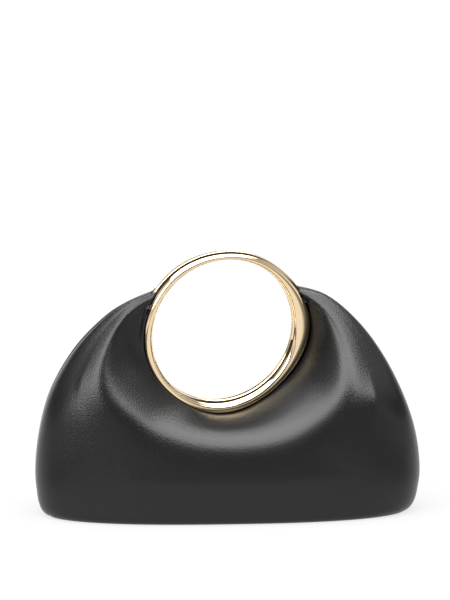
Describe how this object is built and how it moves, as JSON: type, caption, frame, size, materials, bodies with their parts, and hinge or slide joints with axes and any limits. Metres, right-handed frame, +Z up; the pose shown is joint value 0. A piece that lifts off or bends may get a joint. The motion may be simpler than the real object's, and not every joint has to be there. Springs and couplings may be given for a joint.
{
  "type": "ring-handle handbag",
  "caption": "Small soft leather handbag that stands on its base, with a rolled U-shaped fold in front and a round metal ring let into its top as the handle.",
  "frame": {"origin": "on the floor, below the middle of the bag's overall box", "axes": "+X to the right as seen from the front, +Y to the back, +Z up"},
  "size_m": [0.247, 0.095, 0.1683],
  "materials": {
    "leather": "smooth black nappa with a soft sheen",
    "ring_metal": "polished pale gold"
  },
  "bodies": {
    "root": {"front_panel": "leather", "back_panel": "leather", "ring_front": "ring_metal", "ring_back": "ring_metal"}
  },
  "joints": []
}
